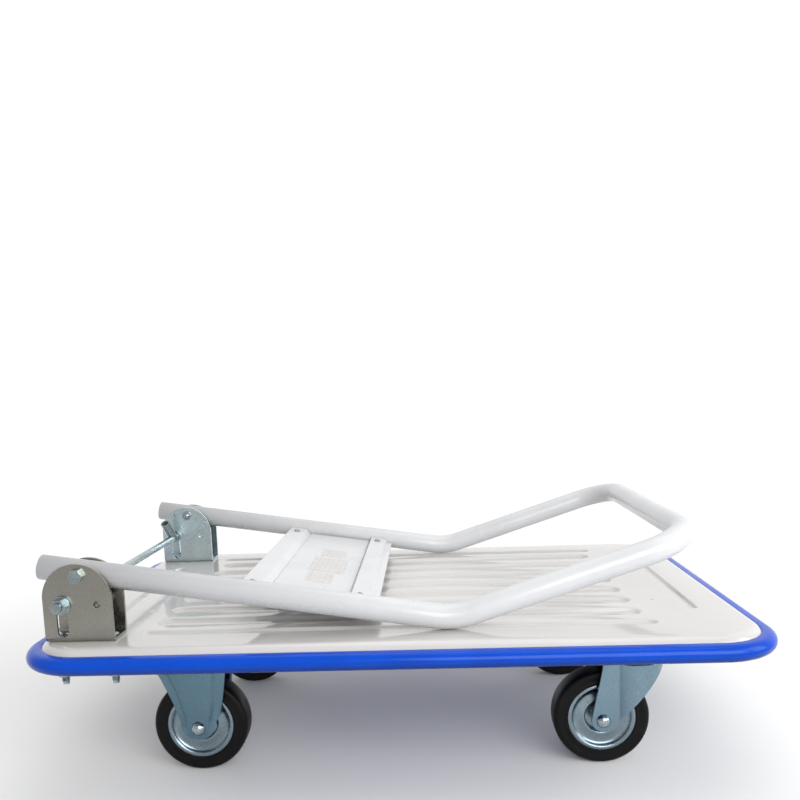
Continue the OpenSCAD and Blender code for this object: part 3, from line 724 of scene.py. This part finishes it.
def build_handle(sizes):
    """The bent tube: straight lengths and bends from one open end to the middle, then mirrored."""
    tail, lower, upper = 42 * MM, 369.7 * MM, 245 * MM
    rise_degrees, bend_r, grip_r = 26.5, 80 * MM, 50 * MM
    rise = math.radians(rise_degrees)
    short = bend_r * math.tan(rise / 2)
    bm = bmesh.new()
    ring = bmesh.ops.create_circle(bm, cap_ends=False, radius=sizes.tube_radius, segments=40)["verts"]
    bmesh.ops.rotate(bm, verts=ring, cent=(0, 0, 0), matrix=Matrix.Rotation(math.pi / 2, 3, "Y"))
    bmesh.ops.translate(bm, verts=ring, vec=(-tail, -LEG_Y, 0))
    edges = list(bm.edges)
    edges = run(bm, edges, (tail + lower - short, 0, 0))
    edges = bend(bm, edges, (lower - short, -LEG_Y, bend_r), (0, -1, 0), rise_degrees, 14)
    along = Vector((math.cos(rise), 0, math.sin(rise)))
    edges = run(bm, edges, along * (upper - short - grip_r))
    corner = Vector((lower, -LEG_Y, 0)) + along * (upper - grip_r) + Vector((0, grip_r, 0))
    edges = bend(bm, edges, corner, along.cross(Vector((0, 1, 0))), 90, 20)
    run(bm, edges, (0, LEG_Y - grip_r, 0))
    bmesh.ops.mirror(bm, geom=bm.verts[:] + bm.edges[:] + bm.faces[:], axis="Y", merge_dist=0.01 * MM)
    face_out(bm)
    bm.transform(FOLDED)
    tube = finished("Bent_Handle_Tube", bm, ["handle_tube"], 60)
    wall(tube, sizes.tube_wall)


# ---- wheels ----------------------------------------------------------------------------------


def tyre_profile():
    """Half-round shoulders, a nearly flat tread, and a raised ring low on each wall."""
    half, inner, outer = 14 * MM, 35.6 * MM, WHEEL_R
    side = [(inner, 13.2 * MM), (inner + 1.2 * MM, 13.7 * MM), (inner + 2.4 * MM, 13.2 * MM)]
    side += [(inner + 4 * MM, 13.0 * MM), (inner + 6.5 * MM, 13.3 * MM)]
    shoulder = list(arc((outer - 5.4 * MM, half - 5.2 * MM), 5.2 * MM, 84, 12, 7))
    tread = [(outer - 0.08 * MM, 5 * MM), (outer, 1.2 * MM), (outer, 0)]
    near = side + shoulder + tread
    return near + [(r, -out) for r, out in reversed(near[:-1])]


def rim_profile():
    """A pressed disc from the hub out: flat, up a step, a recessed band, then the rolled lip."""
    points = [(9.6, 1.6), (9.6, 3.0), (16.2, 3.0), (16.5, 3.3), (16.6, 9.2), (17.0, 10.4), (17.9, 10.8)]
    points += [(19.4, 10.8), (20.6, 10.4), (26.6, 9.7), (28.8, 10.1), (30.2, 11.4), (31.2, 12.8)]
    points += [(32.4, 13.4), (33.6, 13.4), (34.9, 13.0), (35.4, 12.0), (35.45, 8.0), (35.45, 0.15)]
    points += [(34.1, 0.15), (34.1, 11.6)]
    points += [(33.4, 12.0), (32.0, 11.4), (30.4, 9.6), (29.0, 8.9), (18.7, 8.9), (18.1, 8.4), (18.0, 1.7)]
    return [(r * MM, out * MM) for r, out in points]


def hub_profile(node):
    """A bore, a round end and a thicker middle, to the CAD hub's width."""
    low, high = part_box(node)
    half = (high.y - low.y) / 2
    points = [(5.1, 1.0), (5.4, 1.01), (8.4, 1.01), (9.0, 0.97), (9.0, 0.1), (16.4, 0.09)]
    near = [(r * MM, share * half) for r, share in points]
    return near + [(r, -out) for r, out in reversed(near)]


def build_wheels():
    """Tyre, two rim discs and hub for each of the four wheels."""
    for end, x in (("rigid", RIGID_X), ("swivel", SWIVEL_X)):
        for name, side in (("near", -1), ("far", 1)):
            label = f"{end.title()}.{name.title()}"
            centre = (x, side * WHEEL_Y, WHEEL_R)
            key = f"{end}_{name}_"
            finished(label + ".Tyre", turned(tyre_profile(), 96, centre, side), [key + "tyre"], 50)
            finished(label + ".Rim.Outer", turned(rim_profile(), 96, centre, side), [key + "rim_outer"])
            finished(label + ".Rim.Inner", turned(rim_profile(), 96, centre, -side), [key + "rim_inner"])
            finished(label + ".Hub", turned(hub_profile(key + "hub"), 48, centre, side), [key + "hub"])


# ---- fasteners, rod and spring ---------------------------------------------------------------


def thread(radius, depth, pitch, start, end):
    """A thread's ridges as a zigzag of (radius, height) points going down from start."""
    turns = int((start - end) / pitch)
    for k in range(turns):
        yield radius, start - k * pitch
        yield radius - depth, start - (k + 0.5) * pitch


def build_bracket_bolts():
    """Low domed M8 bolts whose threaded ends stand below the nuts."""
    low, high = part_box("bracket_bolts")
    head_z = high.z - 3 * MM
    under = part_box("bracket_nuts")[0].z
    shank = 4 * MM
    profile = [(0, high.z), (2.2 * MM, high.z - 0.2 * MM), (4.2 * MM, high.z - 0.85 * MM)]
    profile += [(5.8 * MM, high.z - 1.9 * MM), (6.5 * MM, head_z + 0.3 * MM)]
    profile += [(6.5 * MM, head_z), (shank, head_z)]
    profile += list(thread(shank, 0.55 * MM, 1.25 * MM, under - 0.2 * MM, low.z + 1.2 * MM))
    profile += [(shank - 0.9 * MM, low.z), (0, low.z)]
    bm = bmesh.new()
    verts = [bm.verts.new((r, 0, z)) for r, z in profile]
    edges = [bm.edges.new(pair) for pair in zip(verts, verts[1:])]
    bmesh.ops.spin(
        bm, geom=verts + edges, cent=(0, 0, 0), axis=(0, 0, 1), angle=math.tau, steps=40, use_merge=True
    )
    face_out(bm)
    half = shank + 2.5 * MM
    bolt = bm.verts[:] + bm.edges[:] + bm.faces[:]
    for x in (low.x + half, high.x - half):
        for y in (low.y + half, high.y - half):
            copy = of_kind(bmesh.ops.duplicate(bm, geom=bolt)["geom"], bmesh.types.BMVert)
            bmesh.ops.translate(bm, verts=copy, vec=(x, y, 0))
    bmesh.ops.delete(bm, geom=of_kind(bolt, bmesh.types.BMVert), context="VERTS")
    finished("Bracket.Bolts", bm, ["bracket_bolts"], 35)


def build_spring():
    """The close-wound coil with its two hooks and a loop round the lock rod."""
    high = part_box("return_spring")[1]
    coil_r, wire, turns, pitch, loop_r = 3.2 * MM, 0.6 * MM, 11, 1.2 * MM, 5.15 * MM
    axis = Vector((ROD.x, -LEG_Y + 21.2 * MM, 0))
    base = ROD.z + 10.6 * MM
    per_turn = 20
    peg_length = 5 * MM
    bm = bmesh.new()
    ring = bmesh.ops.create_circle(bm, cap_ends=False, radius=wire, segments=8)["verts"]
    bmesh.ops.rotate(bm, verts=ring, cent=(0, 0, 0), matrix=Matrix.Rotation(math.pi / 2, 3, "X"))
    bmesh.ops.translate(bm, verts=ring, vec=(axis.x + coil_r, axis.y, base))
    made = bmesh.ops.spin(
        bm,
        geom=list(bm.edges),
        cent=(axis.x, axis.y, 0),
        axis=(0, 0, 1),
        dvec=(0, 0, pitch / per_turn),
        angle=math.tau * turns,
        steps=per_turn * turns,
        use_merge=False,
    )
    last = of_kind(made["geom_last"], bmesh.types.BMEdge)
    first = [e for e in bm.edges if e.is_boundary and e not in last]
    top = base + turns * pitch
    x, y, turn_r = axis.x + coil_r, axis.y, 1.0 * MM
    hook = bend(bm, last, (x, y, top + turn_r), (1, 0, 0), 90, 6)
    hook = run(bm, hook, (0, 0, high.z - wire - top - 2 * turn_r))
    hook = bend(bm, hook, (x, y, high.z - wire - turn_r), (1, 0, 0), 90, 6)
    run(bm, hook, (0, -peg_length, 0))
    hook = bend(bm, first, (x, y, base - turn_r), (1, 0, 0), 90, 6)
    run(bm, hook, (0, 0, ROD.z + 3.6 * MM - base + turn_r))
    bmesh.ops.holes_fill(bm, edges=[e for e in bm.edges if e.is_boundary], sides=0)
    loop = bmesh.ops.create_circle(bm, cap_ends=False, radius=wire, segments=8)["verts"]
    bmesh.ops.translate(bm, verts=loop, vec=(ROD.x + loop_r, y, ROD.z))
    bmesh.ops.spin(
        bm,
        geom=loop_edges(bm, loop),
        cent=(ROD.x, y, ROD.z),
        axis=(0, 1, 0),
        angle=math.tau,
        steps=32,
        use_merge=True,
    )
    face_out(bm)
    start = (axis.x, axis.y, top)
    end = (axis.x, axis.y, ROD.z + 5 * MM)
    finished("Return_Spring", bm, ["return_spring"], 50, ("platform", "lock", start, end))


# ---- rigid forks -----------------------------------------------------------------------------

FORK_OUT = 22 * MM
PLATE_UNDER = 125.5 * MM
FOOT_R = 19 * MM
FOOT_Z = 56.5 * MM
WING_BACK = 3.2 * MM
WING_BEND = 1.5 * MM
LEG_SHEET = 2.6 * MM
PLATE_SIZE = Vector((92, 78, 3.5)) * MM
PLATE_OFFSET = -6 * MM


def leg_sides(z):
    """The left and right ends of a rigid leg at a height, measured from the axle."""
    if z < FOOT_Z:
        half = math.sqrt(max(FOOT_R**2 - (FOOT_Z - z) ** 2, 0))
        return -half, half
    share = (z - FOOT_Z) / (PLATE_UNDER - FOOT_Z)
    return -FOOT_R - 31 * MM * ease_in(share), FOOT_R + 14 * MM * share**0.55


def ease_in(x):
    """Nearly straight, but leaving the foot gently and flaring out at the top."""
    return 0.8 * x + 0.2 * x**3


def leg_row(z):
    """Across a rigid leg at a height: (x, depth) points of a left wing, the raised panel and a right wing."""
    left, right = leg_sides(z)
    width = right - left
    fade = ease((z - 44 * MM) / (22 * MM))
    panel_left = left + min(11 * MM, 0.17 * width)
    panel_right = right - min(13 * MM, 0.2 * width)
    back = WING_BACK * fade
    turned_in = back + 0.5 * MM * fade
    soft = WING_BEND * fade
    return [
        (left, turned_in), (left + 0.5 * MM, back), (panel_left - soft, back * 0.85),
        (panel_left + soft, 0.12 * back), (panel_left + 2 * soft, 0),
        (panel_right - 2 * soft, 0), (panel_right - soft, 0.12 * back),
        (panel_right + soft, back * 0.85), (right - 0.5 * MM, back), (right, turned_in),
    ]  # fmt: skip


def rigid_leg(bm, side):
    """One leg of a rigid fork, extruded down from the plate row by row."""
    heights = [PLATE_UNDER - k * (PLATE_UNDER - FOOT_Z) / 16 for k in range(17)]
    heights += [FOOT_Z - FOOT_R * math.sin(math.radians(a)) for a in range(8, 88, 8)]
    heights.append(FOOT_Z - FOOT_R * 0.9995)
    row = [bm.verts.new((x, side * (FORK_OUT - y), heights[0])) for x, y in leg_row(heights[0])]
    edges = [bm.edges.new(pair) for pair in zip(row, row[1:])]
    roots = {vert: k for k, vert in enumerate(row)}
    for z in heights[1:]:
        roots, edges = next_row(bm, edges, roots)
        stations = leg_row(z)
        for vert, k in roots.items():
            x, y = stations[k]
            vert.co = (x, side * (FORK_OUT - y), z)


def build_rigid_fork(name, side):
    """Both legs of a rigid fork, pressed with a raised panel, under their flat plate."""
    node = f"rigid_fork_{name}"
    bm = bmesh.new()
    for s in (-1, 1):
        rigid_leg(bm, s)
    bm.normal_update()
    wrong = [f for f in bm.faces if f.normal.y * f.calc_center_median().y < 0]
    bmesh.ops.reverse_faces(bm, faces=wrong)
    bmesh.ops.solidify(bm, geom=bm.faces[:], thickness=LEG_SHEET)
    plate = bmesh.ops.create_cube(bm, size=1)["verts"]
    bmesh.ops.scale(bm, verts=plate, vec=PLATE_SIZE)
    bmesh.ops.translate(bm, verts=plate, vec=(PLATE_OFFSET, 0, PLATE_UNDER + PLATE_SIZE.z / 2))
    upright = [e for e in bm.edges if e.verts[0] in plate and abs(e.verts[0].co.z - e.verts[1].co.z) > MM]
    bevel(bm, upright, 6 * MM, 5)
    bmesh.ops.translate(bm, verts=bm.verts, vec=(RIGID_X, side * WHEEL_Y, 0))
    fork = finished(f"Rigid.Fork.{name.title()}", bm, [node], 30)
    edge = fork.modifiers.new("Edge", "BEVEL")
    edge.width = 0.4 * MM
    edge.segments = 2
    edge.limit_method = "ANGLE"
    edge.angle_limit = math.radians(60)


def bevel(bm, edges, width, segments):
    """Rounds edges over."""
    bmesh.ops.bevel(
        bm,
        geom=edges,
        offset=width,
        offset_type="OFFSET",
        affect="EDGES",
        segments=segments,
        profile=0.5,
        material=-1,
        clamp_overlap=True,
    )


STAMPED = ["bracket_near", "bracket_far", "swivel_fork_near", "swivel_fork_far"]
PLATES = [
    "swivel_plate_near", "swivel_plate_far", "bracket_channel", "rigid_caster_channel",
    "swivel_caster_channel",
]  # fmt: skip
BARS = ["crossbar_lower", "crossbar_upper", "back_panel", "panel_lugs"]
FASTENERS = [
    "bracket_nuts", "pivot_bolts", "pivot_rings", "rigid_axle_bolts", "rigid_axle_nuts",
    "swivel_kingpins", "caster_bolts", "caster_nuts", "pivot_sleeves", "panel_screws", "panel_nuts",
    "lock_rod", "rod_washers", "rod_nuts", "rod_collars", "release_peg", "swivel_axle_bolt_near",
    "swivel_axle_nut_near", "swivel_axle_bolt_far", "swivel_axle_nut_far",
]  # fmt: skip
KEPT = ["race_balls", "panel_labels"]


def repaint(node):
    """Gives a CAD node that keeps its own shape its finish."""
    mesh = frame["nodes"][node].data
    mesh.materials.clear()
    mesh.materials.append(finishes()[slot_of(node)])


# ---- stage -----------------------------------------------------------------------------------

CAMERA_PLACE = Vector((37.1, -958.6, 399.9)) * MM
CAMERA_PITCH = 0.1291
CAMERA_YAW = -0.0366
CAMERA_ROLL = -0.0337
CAMERA_LENS = 36.5
CAMERA_SHIFT_Y = 0.1146
ROOM_STRENGTH = 0.55
WALL_STRENGTH = 1.05
FLOOR_HALF = 12
# Name, place, the point it faces, size and watts.
SOFTBOXES = [
    ("Key", (0.9, -1.8, 1.0), (0, 0, 0.12), (2.0, 1.2), 33),
    ("Top", (0.2, 0.2, 2.3), (0, 0, 0.1), (2.4, 1.2), 9),
    ("Right", (2.0, -0.6, 0.9), (0, 0, 0.12), (0.9, 1.4), 12),
]


def build_camera():
    """The main view: a little above the cart, square on to its long side."""
    data = bpy.data.cameras.new("Camera")
    data.lens = CAMERA_LENS
    data.sensor_width = 36
    data.shift_y = CAMERA_SHIFT_Y
    data.clip_start = 0.01
    camera = bpy.data.objects.new("Camera", data)
    camera.matrix_world = (
        Matrix.Translation(CAMERA_PLACE)
        @ Matrix.Rotation(-CAMERA_YAW, 4, "Z")
        @ Matrix.Rotation(math.pi / 2 - CAMERA_PITCH, 4, "X")
        @ Matrix.Rotation(CAMERA_ROLL, 4, "Z")
    )
    bpy.context.scene.collection.objects.link(camera)
    bpy.context.scene.camera = camera


def softbox(name, place, target, size, power):
    """A rectangular area light at a place, facing a target."""
    data = bpy.data.lights.new(name, "AREA")
    data.shape = "RECTANGLE"
    data.size, data.size_y = size
    data.energy = power
    light = bpy.data.objects.new(name, data)
    place = Vector(place)
    turn = (place - Vector(target)).to_track_quat("Z", "Y")
    light.matrix_world = Matrix.Translation(place) @ turn.to_matrix().to_4x4()
    bpy.context.scene.collection.objects.link(light)


def studio_world():
    """A white wall behind the cart that falls off to a dimmer room overhead and on the viewer's side."""
    world = bpy.data.worlds.new("Studio")
    world.use_nodes = True
    tree = world.node_tree
    where = add(tree, "ShaderNodeTexCoord")
    axes = add(tree, "ShaderNodeSeparateXYZ", links={"Vector": where.outputs["Generated"]})
    strength = spread(tree, axes.outputs["Y"], ROOM_STRENGTH, WALL_STRENGTH, 0.1, 0.6)
    background = tree.nodes["Background"]
    background.inputs["Color"].default_value = (1, 1, 1, 1)
    tree.links.new(strength, background.inputs["Strength"])
    return world


def build_stage():
    """The world, the floor, three softboxes and the camera."""
    scene = bpy.context.scene
    scene.world = studio_world()
    bm = bmesh.new()
    bmesh.ops.create_grid(bm, x_segments=2, y_segments=2, size=FLOOR_HALF)
    mesh = bpy.data.meshes.new("Floor")
    bm.to_mesh(mesh)
    bm.free()
    mesh.materials.append(studio_floor())
    floor = bpy.data.objects.new("Floor", mesh)
    scene.collection.objects.link(floor)
    for row in SOFTBOXES:
        softbox(*row)
    build_camera()
    scene.view_settings.view_transform = "Standard"


# ---- operators -------------------------------------------------------------------------------


class CART_OT_deck(bpy.types.Operator):
    """Builds the pressed deck and its vinyl bumper"""

    bl_idname = "cart.deck"
    bl_label = "Deck and Bumper"

    def execute(self, context):
        build_deck(context.scene.cart_sizes)
        build_bumper(context.scene.cart_sizes)
        return {"FINISHED"}


class CART_OT_handle(bpy.types.Operator):
    """Builds the bent handle tube, its crossbars and its back panel"""

    bl_idname = "cart.handle"
    bl_label = "Handle"

    def execute(self, context):
        build_handle(context.scene.cart_sizes)
        soften_nodes(BARS, 0.45 * MM)
        return {"FINISHED"}


class CART_OT_stampings(bpy.types.Operator):
    """Rounds the edges of the brackets, forks, plates and channels"""

    bl_idname = "cart.stampings"
    bl_label = "Brackets and Forks"

    def execute(self, context):
        soften_nodes(STAMPED, context.scene.cart_sizes.edge_break)
        soften_nodes(PLATES, 0.3 * MM)
        build_rigid_fork("near", -1)
        build_rigid_fork("far", 1)
        return {"FINISHED"}


class CART_OT_wheels(bpy.types.Operator):
    """Spins the tyres, rims and hubs of the four wheels"""

    bl_idname = "cart.wheels"
    bl_label = "Wheels"

    def execute(self, context):
        build_wheels()
        return {"FINISHED"}


class CART_OT_fasteners(bpy.types.Operator):
    """Finishes the bolts, nuts, screws, lock rod and return spring"""

    bl_idname = "cart.fasteners"
    bl_label = "Fasteners and Lock"

    def execute(self, context):
        soften_nodes(FASTENERS, 0.3 * MM)
        build_bracket_bolts()
        build_spring()
        for node in KEPT:
            repaint(node)
        return {"FINISHED"}


class CART_OT_stage(bpy.types.Operator):
    """Sets up the floor, the lights and the camera"""

    bl_idname = "cart.stage"
    bl_label = "Stage"

    def execute(self, context):
        build_stage()
        return {"FINISHED"}


class CART_PT_panel(bpy.types.Panel):
    """Lists the cart's builders and settings"""

    bl_idname = "CART_PT_panel"
    bl_label = "Folding Platform Cart"
    bl_space_type = "VIEW_3D"
    bl_region_type = "UI"
    bl_category = "Cart"

    def draw(self, context):
        for operator in OPERATORS:
            self.layout.operator(operator.bl_idname)
        for group in (context.scene.cart_sizes, context.scene.cart_finishes):
            for key in group.__annotations__:
                self.layout.prop(group, key)


OPERATORS = (
    CART_OT_deck, CART_OT_handle, CART_OT_stampings, CART_OT_wheels, CART_OT_fasteners, CART_OT_stage
)  # fmt: skip
CLASSES = (CartSizes, CartFinishes, *OPERATORS, CART_PT_panel)


def register():
    for cls in CLASSES:
        bpy.utils.register_class(cls)
    bpy.types.Scene.cart_sizes = PointerProperty(type=CartSizes)
    bpy.types.Scene.cart_finishes = PointerProperty(type=CartFinishes)


def unregister():
    del bpy.types.Scene.cart_finishes
    del bpy.types.Scene.cart_sizes
    for cls in reversed(CLASSES):
        bpy.utils.unregister_class(cls)


def main():
    """Builds everything in order."""
    register()
    bpy.ops.cart.deck()
    bpy.ops.cart.handle()
    bpy.ops.cart.stampings()
    bpy.ops.cart.wheels()
    bpy.ops.cart.fasteners()
    bpy.ops.cart.stage()


if __name__ == "__main__":
    main()
